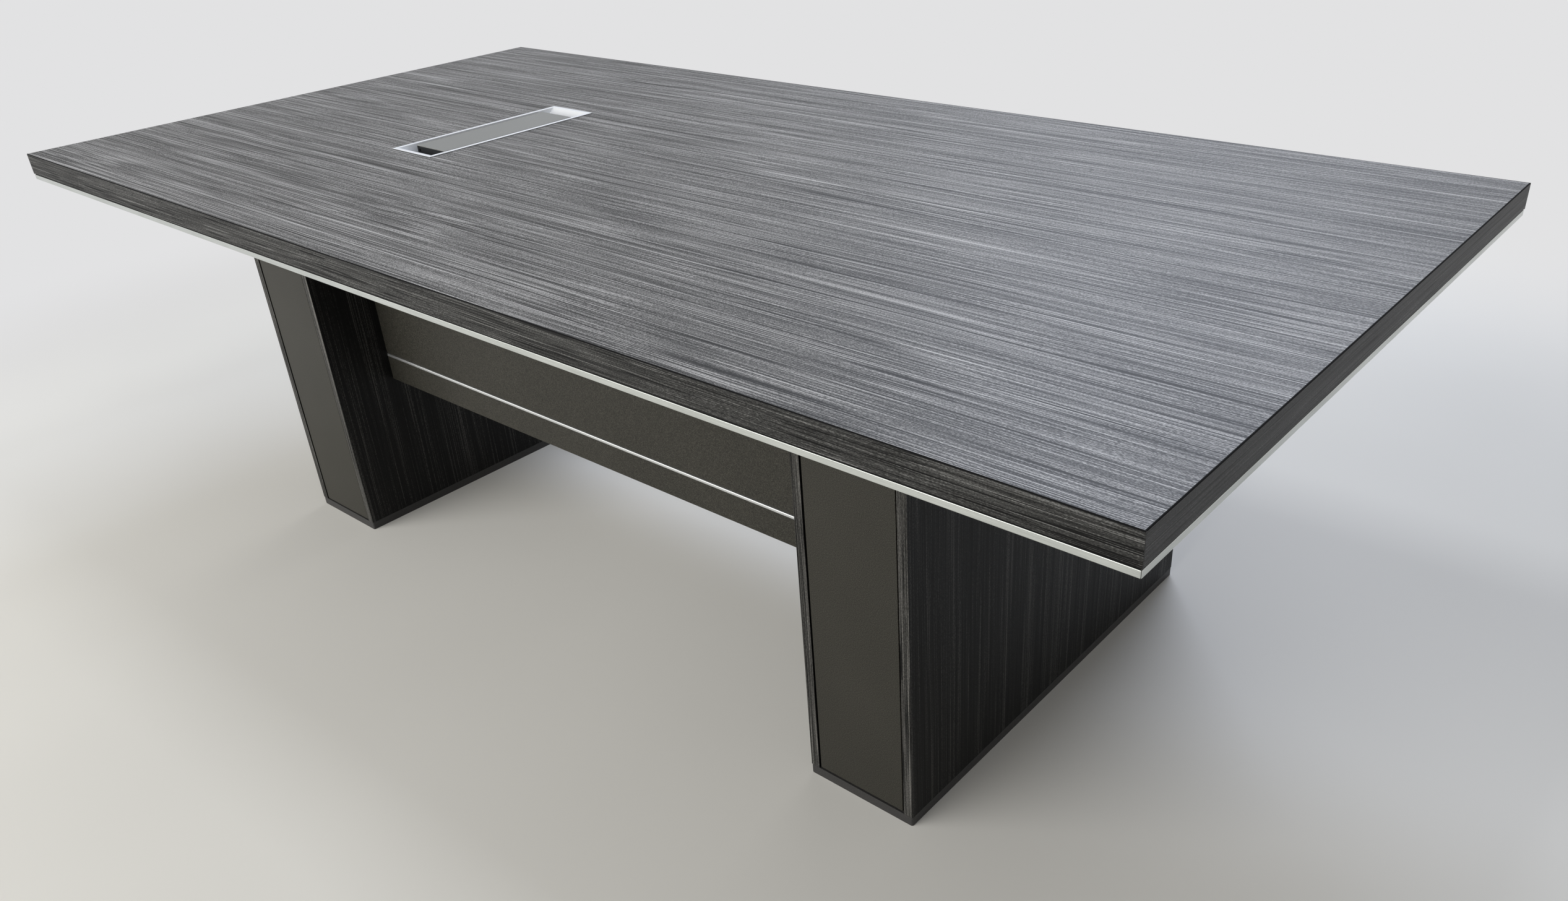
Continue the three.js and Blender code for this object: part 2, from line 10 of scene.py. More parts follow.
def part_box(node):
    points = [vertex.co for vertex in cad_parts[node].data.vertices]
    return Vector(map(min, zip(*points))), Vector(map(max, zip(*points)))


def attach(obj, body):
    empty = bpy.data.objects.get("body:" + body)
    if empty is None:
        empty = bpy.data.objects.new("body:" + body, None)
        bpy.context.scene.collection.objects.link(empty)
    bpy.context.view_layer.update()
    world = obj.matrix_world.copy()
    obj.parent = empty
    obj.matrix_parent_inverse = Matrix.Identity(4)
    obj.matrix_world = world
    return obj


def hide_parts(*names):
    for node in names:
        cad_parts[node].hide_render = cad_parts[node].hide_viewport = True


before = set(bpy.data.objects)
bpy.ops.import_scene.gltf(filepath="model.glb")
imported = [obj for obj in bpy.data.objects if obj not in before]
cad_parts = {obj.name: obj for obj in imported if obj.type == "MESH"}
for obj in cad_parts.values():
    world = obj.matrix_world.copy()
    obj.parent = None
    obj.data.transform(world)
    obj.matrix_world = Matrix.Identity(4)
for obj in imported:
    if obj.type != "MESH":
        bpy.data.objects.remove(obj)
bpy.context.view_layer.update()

MM = 0.001
X, Y, Z = 0, 1, 2

# Camera, at the photograph's viewing angle
CAMERA_PLACE_METRES = (1.60871, -1.45513, 1.32979)
CAMERA_TURN_DEG = 41.158
CAMERA_DIP_DEG = 30.224
CAMERA_ROLL_DEG = -2.957
CAMERA_LENS = 28.2825
CAMERA_SENSOR = 36
CAMERA_SHIFT = (-0.034236, 0.030197)

# Lamps, in metres and watts
CEILING_PLACE = (0.25, 0.12, 2.57)
CEILING_SIZE = (0.6, 0.5)
CEILING_POWER = 12
FRONT_PLACE = (-1.2, -4.3, 2.0)
FRONT_AIM = (0.0, 0.0, 0.4)
FRONT_SIZE = (5.6, 2.4)
FRONT_POWER = 214
BACK_PLACE = (-0.7, 3.9, 4.0)
BACK_AIM = (1.1, -0.5, 0.76)
BACK_SIZE = (2.9, 1.5)
BACK_POWER = 140
BOUNCE_PLACE = (-1.2, 3.2, 0.9)
BOUNCE_AIM = (0.0, 0.3, 0.1)
BOUNCE_SIZE = (3.0, 1.5)
BOUNCE_POWER = 45
WORLD_LEVEL = 0.2
BACKGROUND = "#e2e2e3"

# Floor, in metres: it fades to the background between two distances from the table's middle
FLOOR_RADIUS = 14
FADE_START = 1.8
FADE_END = 3.0

# Eased edges, as radii
BOARD_EASE = 0.6
PANEL_EASE = 1.0
TRIM_EASE = 0.6
STRIP_EASE = 1.6
BAND_ROUND = 1.5
BAND_CORNER = 0.6
METAL_EASE = 0.4
MOULDING_EASE = 0.5
LIP_EASE = 0.2
SMOOTH_BELOW_DEG = 40

# Wall sizes that a box of the frame doesn't give
TRIM_WALL = 2
SHADOW_LINE = 1.3
SHADOW_DEPTH = 1
CUTOUT_INSIDE_BEZEL = 5.5
LIP_RIDGE = 3.0
LIP_GROOVE = 0.8
# Height above the top up to which the bezel's outer rim is painted black as the lip's shadow
PAINTED_SHADOW_TOP = 0.7
FOOT_HEIGHT = 8
FOOT_CHAMFER = 2
STUD_RADIUS = 5
THREAD_PITCH = 1.5
THREAD_DEPTH = 0.8

# Oak grain: how far it sways from straight, and the width and length of each sway and of each kind of
# mark. Real pores are finer: these still show. A thread or a growth line has a copy of the opposite
# tone, which lies this far beside it: painted shade and painted highlight, as the emboss would show under
# a lamp. A group of lines so stays even from a step away.
GRAIN_SWAY = 8
SWAY_SIZE = (140, 1200)
GRAIN_MARKS = {"bands": (40, 1800), "streaks": (6, 700), "pores": (0.8, 2.8)}
THREADS = (0.9, 240)
THREAD_SHADING_SHIFT = 0.9
LINE_SHADING_SHIFT = 0.8

# Share of a speckled skin's tone that drifts slowly across it
CLOUD_SHARE = 0.08

# Slotted screw heads, and how far apart those of the trim are
SCREW_SLOT = 0.8
SCREW_SIZES = {"large": (4.0, 2.4), "middle": (3.0, 1.8), "small": (2.0, 1.2)}
SCREW_EASE = 0.15
ANGLE_WALL = 3
ANGLE_SCREW_IN = 18
ANGLE_SCREW_UP = 40
CLAMP_SCREW_UP = 11
CLAMP_SCREW_IN = 14
TRIM_SCREW_IN = 12
TRIM_SCREW_PITCH = 280
PLATE_SCREWS = (40, 125)
INSERT_SCREW_IN = 3.5

# Sides of the top, by how far each is turned from the front
SIDE_TURNS = {"front": 0, "right": 90, "back": 180, "left": 270}


def linear(code):
    """Linear colour of an sRGB hex value."""
    parts = [int(code[i:i + 2], 16) / 255 for i in (1, 3, 5)]
    return [c / 12.92 if c <= 0.04045 else ((c + 0.055) / 1.055) ** 2.4 for c in parts] + [1]


def node(tree, kind, inputs=None, **settings):
    """Adds a node with its settings. An input is given a value, or is linked to a socket."""
    made = tree.nodes.new("ShaderNode" + kind)
    for name, value in settings.items():
        setattr(made, name, value)
    for name, value in (inputs or {}).items():
        if isinstance(value, bpy.types.NodeSocket):
            tree.links.new(value, made.inputs[name])
        else:
            made.inputs[name].default_value = value
    return made


def start_material(name, **values):
    """A material, its node tree and its shader, with the shader's plain values set."""
    material = bpy.data.materials.new(name)
    material.use_nodes = True
    tree = material.node_tree
    shader = tree.nodes["Principled BSDF"]
    for socket, value in values.items():
        shader.inputs[socket.replace("_", " ")].default_value = value
    return material, tree, shader


def set_ramp(ramp, stops):
    """Gives a colour ramp its stops, as places and sRGB hex values."""
    elements = ramp.color_ramp.elements
    elements.remove(elements[1])
    for i, (place, code) in enumerate(stops):
        element = elements[0] if i == 0 else elements.new(place)
        element.position = place
        element.color = linear(code)


def grains(tree, place, size, detail=2.0, span=(0.3, 0.7), start=(0, 0, 0)):
    """A field from 0 to 1 whose spots have the given size along X, Y and Z. A narrow span leaves
    only its darkest or lightest spots."""
    scale = [1 / (length * MM) for length in size]
    spread = node(tree, "Mapping", {"Vector": place, "Location": start, "Scale": scale})
    field = node(tree, "TexNoise", {"Vector": spread.outputs[0], "Scale": 1.0, "Detail": detail})
    low, high = span
    stretched = node(tree, "MapRange", {"Value": field.outputs[0], "From Min": low, "From Max": high})
    return stretched.outputs[0]


def along_grain(axis, width, length):
    """Size of a streak that lies along one axis."""
    size = [width] * 3
    size[axis] = length
    return size


# Finishes

def charcoal_oak(name, axis, tones, weights, line, roughness, emboss, **values):
    """Melamine laminate, printed and embossed with straight oak grain. The print gives soft bands
    and long thin growth lines, and the embossed pores fleck the sheen. A shifted copy of each line and
    thread, in the opposite tone, is painted shade and painted highlight of the emboss."""
    material, tree, shader = start_material(name, IOR=1.5, **values)
    place = node(tree, "TexCoord").outputs["Object"]
    sway_scale = [1 / (length * MM) for length in along_grain(axis, *SWAY_SIZE)]
    sway_place = node(tree, "Mapping", {"Vector": place, "Scale": sway_scale})
    sway = node(tree, "TexNoise", {"Vector": sway_place.outputs[0], "Scale": 1.0, "Detail": 1.0})
    middle = node(tree, "VectorMath", {0: sway.outputs["Color"], 1: (0.5, 0.5, 0.5)}, operation="SUBTRACT")
    reach = along_grain(axis, GRAIN_SWAY * MM, 0)
    shift = node(tree, "VectorMath", {0: middle.outputs[0], 1: reach}, operation="MULTIPLY")
    bent = node(tree, "VectorMath", {0: place, 1: shift.outputs[0]}, operation="ADD").outputs[0]

    tone = 0.5 - sum(weights[mark] for mark in GRAIN_MARKS) / 2
    fields = {}
    for mark, (width, length) in GRAIN_MARKS.items():
        fields[mark] = grains(tree, bent, along_grain(axis, width, length), 1.0)
        share = {0: fields[mark], 1: weights[mark], 2: tone}
        tone = node(tree, "Math", share, operation="MULTIPLY_ADD").outputs[0]
    width, length = THREADS
    # Each thread and a shifted copy of it in the opposite tone: painted highlight and painted shade, as the emboss
    # would show under a lamp.
    rim = along_grain(axis, THREAD_SHADING_SHIFT / width, 0)
    for start, weight in (((0, 0, 0), weights["threads"]), (rim, -weights["threads"])):
        threads = grains(tree, bent, along_grain(axis, width, length), 1.0, start=start)
        tone = node(tree, "Math", {0: threads, 1: weight, 2: tone}, operation="MULTIPLY_ADD").outputs[0]
    width, length, span = line
    # Each growth line and a shifted copy of it: a dark line with a light copy beside it is painted shade and
    # painted highlight of the emboss.
    rim = along_grain(axis, LINE_SHADING_SHIFT / width, 0)
    for start, weight in (((0, 0, 0), weights["lines"]), (rim, weights["painted_relief"])):
        lines = grains(tree, bent, along_grain(axis, width, length), 0.0, span, start)
        tone = node(tree, "Math", {0: lines, 1: weight, 2: tone}, operation="MULTIPLY_ADD").outputs[0]
    ramp = node(tree, "ValToRGB", {"Fac": tone})
    set_ramp(ramp, tones)
    tree.links.new(ramp.outputs[0], shader.inputs["Base Color"])
    rough, sleek = roughness
    gloss = node(tree, "MapRange", {"Value": tone, "To Min": rough, "To Max": sleek})
    tree.links.new(gloss.outputs[0], shader.inputs["Roughness"])
    relief = node(tree, "Math", {0: threads, 1: fields["pores"]}, operation="ADD")
    depth, strength = emboss
    bump = node(tree, "Bump", {"Height": relief.outputs[0], "Distance": depth * MM, "Strength": strength})
    tree.links.new(bump.outputs[0], shader.inputs["Normal"])
    return material


def speckled(name, tones, grit, roughness, depth, strength, **values):
    """A smooth skin with a fine speckle, as sprayed paint, foil or moulded plastic has: it stays
    one even colour from a step away, and shows its grit close up."""
    material, tree, shader = start_material(name, Roughness=roughness, **values)
    place = node(tree, "TexCoord").outputs["Object"]
    grit_field = grains(tree, place, [grit] * 3, 2.0)
    cloud = grains(tree, place, [180] * 3, 2.0)
    cloud_share = node(tree, "Math", {0: cloud, 1: CLOUD_SHARE}, operation="MULTIPLY").outputs[0]
    mixed = {0: grit_field, 1: 1 - CLOUD_SHARE, 2: cloud_share}
    tone = node(tree, "Math", mixed, operation="MULTIPLY_ADD").outputs[0]
    ramp = node(tree, "ValToRGB", {"Fac": tone})
    set_ramp(ramp, tones)
    tree.links.new(ramp.outputs[0], shader.inputs["Base Color"])
    bump = node(tree, "Bump", {"Height": grit_field, "Distance": depth * MM, "Strength": strength})
    tree.links.new(bump.outputs[0], shader.inputs["Normal"])
    return material


def satin_metal(name, tones, stroke, roughness):
    """Bare metal with a drawn or brushed finish: fine strokes lie along it and soften what it
    mirrors."""
    material, tree, shader = start_material(name, Metallic=1.0)
    place = node(tree, "TexCoord").outputs["Object"]
    strokes = grains(tree, place, stroke, 3.0)
    cloud = grains(tree, place, [120] * 3, 2.0)
    tone = node(tree, "Math", {0: strokes, 1: 0.6, 2: 0.0}, operation="MULTIPLY_ADD").outputs[0]
    tone = node(tree, "Math", {0: cloud, 1: 0.4, 2: tone}, operation="MULTIPLY_ADD").outputs[0]
    ramp = node(tree, "ValToRGB", {"Fac": tone})
    set_ramp(ramp, tones)
    tree.links.new(ramp.outputs[0], shader.inputs["Base Color"])
    rough, sleek = roughness
    gloss = node(tree, "MapRange", {"Value": tone, "To Min": rough, "To Max": sleek})
    tree.links.new(gloss.outputs[0], shader.inputs["Roughness"])
    bump = node(tree, "Bump", {"Height": strokes, "Distance": 0.02 * MM, "Strength": 0.2})
    tree.links.new(bump.outputs[0], shader.inputs["Normal"])
    return material


def chipboard(name):
    """Raw chipboard, seen where the board is sawn: pressed flakes of several browns."""
    material, tree, shader = start_material(name, Roughness=0.85)
    place = node(tree, "TexCoord").outputs["Object"]
    scale = [1 / (2.6 * MM), 1 / (2.6 * MM), 1 / (1.1 * MM)]
    spread = node(tree, "Mapping", {"Vector": place, "Scale": scale})
    flakes = node(tree, "TexVoronoi", {"Vector": spread.outputs[0], "Scale": 1.0})
    ramp = node(tree, "ValToRGB", {"Fac": flakes.outputs["Color"]})
    set_ramp(ramp, [(0.2, "#6b5238"), (0.5, "#a98a60"), (0.8, "#c9ad80")])
    tree.links.new(ramp.outputs[0], shader.inputs["Base Color"])
    bump = node(tree, "Bump", {"Height": flakes.outputs["Distance"], "Distance": 0.3 * MM, "Strength": 0.5})
    tree.links.new(bump.outputs[0], shader.inputs["Normal"])
    return material


TOP_TONES = [(0.0, "#0f0f0f"), (0.25, "#2e2e2e"), (0.5, "#555554"), (0.75, "#858483"), (1.0, "#bbbab9")]
LONG_EDGE_TONES = [(0.0, "#050505"), (0.25, "#191919"), (0.5, "#313130"), (0.75, "#4b4b4a"), (1.0, "#767675")]
SHORT_EDGE_TONES = [(0.0, "#0a0a0a"), (0.25, "#1b1b1b"), (0.5, "#2d2d2d"), (0.75, "#444444"), (1.0, "#6d6d6d")]
# Painted shade: the pedestals' sides are the top's laminate, made far darker for the shadow they stand in under the
# top.
SHADED_SIDE_TONES = [(0.0, "#020202"), (0.4, "#050505"), (0.6, "#090909"), (0.8, "#1b1b1a"), (1.0, "#434240")]
TIP_TONES = [(0.0, "#0b0b0b"), (0.25, "#232322"), (0.5, "#403f3d"), (0.75, "#5b5a58"), (1.0, "#817f7b")]
DARK_LINES = (1.3, 1100, (0.4, 0.31))
CLOSE_DARK_LINES = (1.1, 130, (0.4, 0.34))
LIGHT_LINES = (1.7, 400, (0.58, 0.72))
top_laminate = charcoal_oak(
    "charcoal_oak_laminate", X, TOP_TONES,
    {"bands": 0.1, "streaks": 0.01, "threads": 0.6, "pores": 0.6, "lines": -0.95, "painted_relief": 0.4},
    DARK_LINES, (0.54, 0.38), (0.05, 0.5), Specular_IOR_Level=0.24,
)
long_edge = charcoal_oak(
    "charcoal_oak_edging_long", X, LONG_EDGE_TONES,
    {"bands": 0.03, "streaks": 0.0, "threads": 0.3, "pores": 0.45, "lines": -0.85, "painted_relief": 0.25},
    CLOSE_DARK_LINES, (0.6, 0.45), (0.05, 0.4), Specular_IOR_Level=0.15,
)
short_edge = charcoal_oak(
    "charcoal_oak_edging_short", Y, SHORT_EDGE_TONES,
    {"bands": 0.1, "streaks": 0.15, "threads": 0.3, "pores": 0.35, "lines": -0.3, "painted_relief": 0.1},
    CLOSE_DARK_LINES, (0.6, 0.5), (0.05, 0.3), Specular_IOR_Level=0.35,
)
# Painted shade: the same oak laminate as the top, darkened because the sides stand in shadow.
shaded_side_laminate = charcoal_oak(
    "charcoal_oak_sides_painted_shade", Z, SHADED_SIDE_TONES,
    {"bands": 0.35, "streaks": 0.35, "threads": 0.4, "pores": 0.5, "lines": 0.35, "painted_relief": 0.0},
    LIGHT_LINES, (0.6, 0.45), (0.05, 0.4), Specular_IOR_Level=0.18,
)
side_edging = charcoal_oak(
    "charcoal_oak_side_edging", Z, TIP_TONES,
    {"bands": 0.1, "streaks": 0.3, "threads": 0.4, "pores": 0.35, "lines": -0.5, "painted_relief": 0.1},
    CLOSE_DARK_LINES, (0.6, 0.45), (0.05, 0.4), Specular_IOR_Level=0.12,
)
# Black of the edging's bared core, and also painted shade: the trim's recess and the bezel's rim under its lip get
# this black as their shadow.
edging_core_and_painted_shade = speckled(
    "black_edging_core", [(0.2, "#040404"), (0.8, "#0a0a0b")], 0.8, 0.75, 0.02, 0.2, Specular_IOR_Level=0.1,
)
taupe_foil = speckled("taupe_foil_panel", [(0.1, "#1e1d19"), (0.5, "#302f2a"), (0.9, "#46443e")], 1.2, 0.46, 0.03, 0.3, Specular_IOR_Level=0.2)
black_board = speckled("black_melamine_board", [(0.2, "#242324"), (0.8, "#363534")], 1.4, 0.55, 0.05, 0.3)
backing = speckled("dark_backing_sheet", [(0.2, "#1f1f20"), (0.8, "#2c2c2d")], 2.0, 0.7, 0.04, 0.3)
board_core = chipboard("raw_chipboard")
aluminium_x = satin_metal("anodised_aluminium_along_x", [(0.1, "#b5b8b4"), (0.9, "#d6d9d5")], (60, 0.5, 0.5), (0.42, 0.32))
# Painted light: a lighter copy of the trim's aluminium, to make up for the shade the stretcher strip stands in
# under the top.
strip_aluminium_with_painted_light = satin_metal("anodised_aluminium_with_painted_light", [(0.1, "#c6c8c8"), (0.9, "#dcdddd")], (60, 0.5, 0.5), (0.55, 0.45))
aluminium_y = satin_metal("anodised_aluminium_along_y", [(0.1, "#b5b8b4"), (0.9, "#d6d9d5")], (0.5, 60, 0.5), (0.42, 0.32))
zinc = satin_metal("zinc_plated_steel", [(0.1, "#9a9da1"), (0.9, "#c1c4c6")], (3, 3, 3), (0.42, 0.28))
sheet_steel = satin_metal("rolled_sheet_steel", [(0.1, "#84878a"), (0.9, "#a6a9ab")], (0.8, 30, 0.8), (0.45, 0.33))
white_moulding = speckled("white_moulded_plastic", [(0.2, "#e6e9ed"), (0.8, "#f0f2f5")], 0.9, 0.38, 0.02, 0.15)
grey_paint = speckled("grey_textured_paint", [(0.15, "#676866"), (0.5, "#7e7f7c"), (0.85, "#949592")], 0.8, 0.5, 0.04, 0.3)
black_plastic = speckled(
    "black_moulded_plastic", [(0.2, "#0c0c0d"), (0.8, "#161617")], 0.6, 0.5, 0.03, 0.25, Specular_IOR_Level=0.25,
)
black_oxide = satin_metal("black_oxide_steel", [(0.1, "#1a1a1b"), (0.9, "#2c2c2d")], (3, 3, 3), (0.5, 0.4))


# Shapes

def block(low, high):
    """A box between two corners."""
    bm = bmesh.new()
    bmesh.ops.create_cube(bm, size=1)
    bmesh.ops.scale(bm, vec=high - low, verts=bm.verts)
    bmesh.ops.translate(bm, vec=(low + high) / 2, verts=bm.verts)
    return bm


def ease(bm, edges, radius, segments=2):
    bmesh.ops.bevel(
        bm, geom=edges, offset=radius * MM, offset_type="OFFSET", segments=segments,
        profile=0.5, affect="EDGES", material=-1, clamp_overlap=True,
    )


def profile_run(points, start, end):
    """A solid of a section in Y and Z, from start to end along X."""
    bm = bmesh.new()
    corners = [bm.verts.new((start, y, z)) for y, z in points]
    section = bm.faces.new(corners)
    run = bmesh.ops.extrude_face_region(bm, geom=[section])
    moved = [item for item in run["geom"] if isinstance(item, bmesh.types.BMVert)]
    bmesh.ops.translate(bm, vec=(end - start, 0, 0), verts=moved)
    return bm


def turned_solid(profile, place):
    """A round solid of radius and height pairs, about an upright axis through a place."""
    bm = bmesh.new()
    points = [bm.verts.new((radius * MM, 0, height * MM)) for radius, height in profile]
    edges = [bm.edges.new(pair) for pair in zip(points, points[1:])]
    bmesh.ops.spin(
        bm, geom=points + edges, cent=(0, 0, 0), axis=(0, 0, 1), angle=math.tau,
        steps=40, use_merge=True,
    )
    bmesh.ops.remove_doubles(bm, verts=bm.verts, dist=0.001 * MM)
    bmesh.ops.translate(bm, vec=place, verts=bm.verts)
    return bm


def shade_by_area(mesh):
    """Smooths shading across shallow angles, where larger faces count for more: a flat face stays
    flat up to its eased edges."""
    shallow = math.cos(math.radians(SMOOTH_BELOW_DEG))
    meeting = [[] for _ in mesh.vertices]
    for face in mesh.polygons:
        for index in face.vertices:
            meeting[index].append(face)
    normals = []
    for face in mesh.polygons:
        for index in face.vertices:
            joined = [other for other in meeting[index] if other.normal.dot(face.normal) > shallow]
            normals.append(sum((other.normal * other.area for other in joined), Vector()).normalized())
    mesh.normals_split_custom_set(normals)


def finished(name, bm, materials, nodes=(), body="table"):
    """The object of a bmesh. It rides on a body and stands for the CAD nodes that are named."""
    bmesh.ops.recalc_face_normals(bm, faces=bm.faces)
    mesh = bpy.data.meshes.new(name)
    bm.to_mesh(mesh)
    bm.free()
    for material in materials:
        mesh.materials.append(material)
    mesh.shade_smooth()
    mesh.set_sharp_from_angle(angle=math.radians(SMOOTH_BELOW_DEG))
    shade_by_area(mesh)
    piece = bpy.data.objects.new(name, mesh)
    bpy.context.scene.collection.objects.link(piece)
    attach(piece, body)
    if nodes:
        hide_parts(*nodes)
    return piece


def board(part, material, radius, tip=None):
    """A flat board in the place of a CAD node, with its edges eased. A tip is the edging on the
    front and back ends."""
    bm = block(*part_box(part))
    ease(bm, bm.edges[:], radius)
    bmesh.ops.recalc_face_normals(bm, faces=bm.faces)
    for face in bm.faces:
        face.material_index = 1 if tip and abs(face.normal.y) > 0.5 else 0
    return finished(part + "_board", bm, [material, tip] if tip else [material], [part])


def frame_copy(part):
    """A bmesh of a CAD node, with its flat faces whole."""
    bm = bmesh.new()
    bm.from_mesh(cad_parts[part].data)
    bmesh.ops.remove_doubles(bm, verts=bm.verts, dist=0.005 * MM)
    flat = math.radians(1)
    bmesh.ops.dissolve_limit(bm, angle_limit=flat, verts=bm.verts[:], edges=bm.edges[:])
    return bm


def sharp_edges(bm):
    sharp = math.radians(SMOOTH_BELOW_DEG)
    return [edge for edge in bm.edges if edge.calc_face_angle(0) > sharp]


def eased_copy(part, material, radius, body="table"):
    """A fitting with the shape of a CAD node and its sharp edges eased."""
    bm = frame_copy(part)
    ease(bm, sharp_edges(bm), radius)
    return finished(part + "_fitting", bm, [material], [part], body)


def slotted_head(size):
    """A screw's pan head, which stands on the origin. Its two lands leave the slot between them."""
    radius, height = [length * MM for length in SCREW_SIZES[size]]
    half_slot = SCREW_SLOT / 2 * MM
    bm = bmesh.new()
    bmesh.ops.create_cone(bm, cap_ends=True, segments=20, radius1=radius, radius2=radius, depth=height / 2)
    bmesh.ops.translate(bm, vec=(0, 0, height / 4), verts=bm.verts)
    for slot_side in (-half_slot, half_slot):
        whole = bm.verts[:] + bm.edges[:] + bm.faces[:]
        bmesh.ops.bisect_plane(bm, geom=whole, plane_co=(slot_side, 0, 0), plane_no=(1, 0, 0))
    bm.normal_update()
    lands = [f for f in bm.faces if f.normal.z > 0.9 and abs(f.calc_center_median().x) > half_slot]
    raised = bmesh.ops.extrude_discrete_faces(bm, faces=lands)["faces"]
    bmesh.ops.translate(bm, vec=(0, 0, height / 2), verts=list({v for f in raised for v in f.verts}))
    ease(bm, list({edge for f in raised for edge in f.edges}), SCREW_EASE)
    return bm


def screws(name, size, places, turn=0):
    """Zinc-plated screw heads in one piece: each place has a point and the way that the head looks."""
    head = bpy.data.meshes.new(name + "_head")
    single = slotted_head(size)
    single.to_mesh(head)
    single.free()
    bm = bmesh.new()
    for point, way in places:
        first = len(bm.verts)
        bm.from_mesh(head)
        bm.verts.ensure_lookup_table()
        stand = Vector((0, 0, 1)).rotation_difference(Vector(way)).to_matrix().to_4x4()
        bmesh.ops.transform(bm, matrix=Matrix.Translation(point) @ stand, verts=bm.verts[first:])
    bpy.data.meshes.remove(head)
    turn_to_side(bm, turn)
    finished(name + "_screws", bm, [zinc])


def front_box(part, turn):
    """A node's box, turned about Z so that its side of the top faces the front."""
    back = Matrix.Rotation(-math.radians(turn), 3, "Z")
    ends = [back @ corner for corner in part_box(part)]
    return Vector(map(min, *ends)), Vector(map(max, *ends))


def turn_to_side(bm, turn):
    bmesh.ops.rotate(bm, verts=bm.verts, matrix=Matrix.Rotation(math.radians(turn), 3, "Z"))


def near(a, b):
    return abs(a - b) < 0.01 * MM


# Top

def make_tabletop():
    """Laminated board, sawn out for the power module."""
    low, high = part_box("tabletop_panel")
    inset = Vector((1, 1, 0)) * CUTOUT_INSIDE_BEZEL * MM
    bezel_low, bezel_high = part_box("module_bezel")
    cut_low, cut_high = bezel_low + inset, bezel_high - inset
    bm = bmesh.new()
    bmesh.ops.create_grid(bm, x_segments=1, y_segments=1, size=0.5)
    bmesh.ops.scale(bm, vec=high - low, verts=bm.verts)
    bmesh.ops.translate(bm, vec=((low.x + high.x) / 2, (low.y + high.y) / 2, high.z), verts=bm.verts)
    for corner in (cut_low, cut_high):
        for normal in ((1, 0, 0), (0, 1, 0)):
            whole = bm.verts[:] + bm.edges[:] + bm.faces[:]
            bmesh.ops.bisect_plane(bm, geom=whole, plane_co=corner, plane_no=normal)
    hole = []
    for face in bm.faces:
        centre = face.calc_center_median()
        if cut_low.x < centre.x < cut_high.x and cut_low.y < centre.y < cut_high.y:
            hole.append(face)
    bmesh.ops.delete(bm, geom=hole, context="FACES")
    sheet = bmesh.ops.extrude_face_region(bm, geom=bm.faces[:])
    moved = [item for item in sheet["geom"] if isinstance(item, bmesh.types.BMVert)]
    bmesh.ops.translate(bm, vec=(0, 0, low.z - high.z), verts=moved)
    bmesh.ops.recalc_face_normals(bm, faces=bm.faces)
    for face in bm.faces:
        face.material_index = 0 if face.normal.z > 0.5 else 1 if face.normal.z < -0.5 else 2
    finishes = [top_laminate, backing, board_core]
    finished("tabletop_board", bm, finishes, ["tabletop_panel"])


def make_edge_band(side, turn):
    """Edging whose long edges are scraped round, which bares its black core. On the lower round the black also
    stands in as painted shade under the edging.
    """
    part = f"edge_band_{side}"
    low, high = front_box(part, turn)
    bm = block(low, high)
    outer = [edge for edge in bm.edges if all(near(v.co.y, low.y) for v in edge.verts)]
    ease(bm, [edge for edge in outer if near(edge.verts[0].co.z, edge.verts[1].co.z)], BAND_ROUND, 5)
    outer = [edge for edge in bm.edges if all(near(v.co.y, low.y) for v in edge.verts)]
    ease(bm, [edge for edge in outer if not near(edge.verts[0].co.z, edge.verts[1].co.z)], BAND_CORNER)
    bmesh.ops.recalc_face_normals(bm, faces=bm.faces)
    # Both rounds get the black core; on the lower round it is also painted shade under the edging.
    for face in bm.faces:
        face.material_index = 1 if abs(face.normal.z) > 0.2 else 0
    turn_to_side(bm, turn)
    print_finish = long_edge if side in ("front", "back") else short_edge
    finished(part + "_strip", bm, [print_finish, edging_core_and_painted_shade], [part])


def make_trim(side, turn):
    """Aluminium angle under the edging, mitred at its ends, with a recess at its top whose faces are painted black
    as shade.
    """
    part = f"trim_{side}"
    low, high = front_box(part, turn)
    wall = TRIM_WALL * MM
    line_low = high.z - SHADOW_LINE * MM
    line_depth = low.y + SHADOW_DEPTH * MM
    section = [
        (low.y, low.z), (low.y + wall, low.z), (low.y + wall, high.z - wall),
        (high.y, high.z - wall), (high.y, high.z), (line_depth, high.z), (line_depth, line_low), (low.y, line_low),
    ]
    bm = profile_run(section, low.x, high.x)
    for vertex in bm.verts:
        vertex.co.x -= math.copysign(vertex.co.y - low.y, vertex.co.x)
    face_edges = [edge for edge in bm.edges if all(near(v.co.y, low.y) for v in edge.verts)]
    ease(bm, face_edges, TRIM_EASE, 3)
    # Painted shade: the faces of the recess at the top get black, as a shadow line under the edging.
    for face in bm.faces:
        centre = face.calc_center_median()
        face.material_index = 1 if centre.z > line_low - 0.1 * MM and near(centre.y, line_depth) else 0
    turn_to_side(bm, turn)
    metal = aluminium_x if side in ("front", "back") else aluminium_y
    finished(part + "_angle", bm, [metal, edging_core_and_painted_shade], [part])
    count = int((high.x - low.x) / (TRIM_SCREW_PITCH * MM))
    run = (high.x - low.x) / count
    row = low.y + TRIM_SCREW_IN * MM
    spots = [(low.x + (i + 0.5) * run, row, high.z - wall) for i in range(count)]
    screws(part, "middle", [(spot, (0, 0, -1)) for spot in spots], turn)


# Pedestals and stretchers

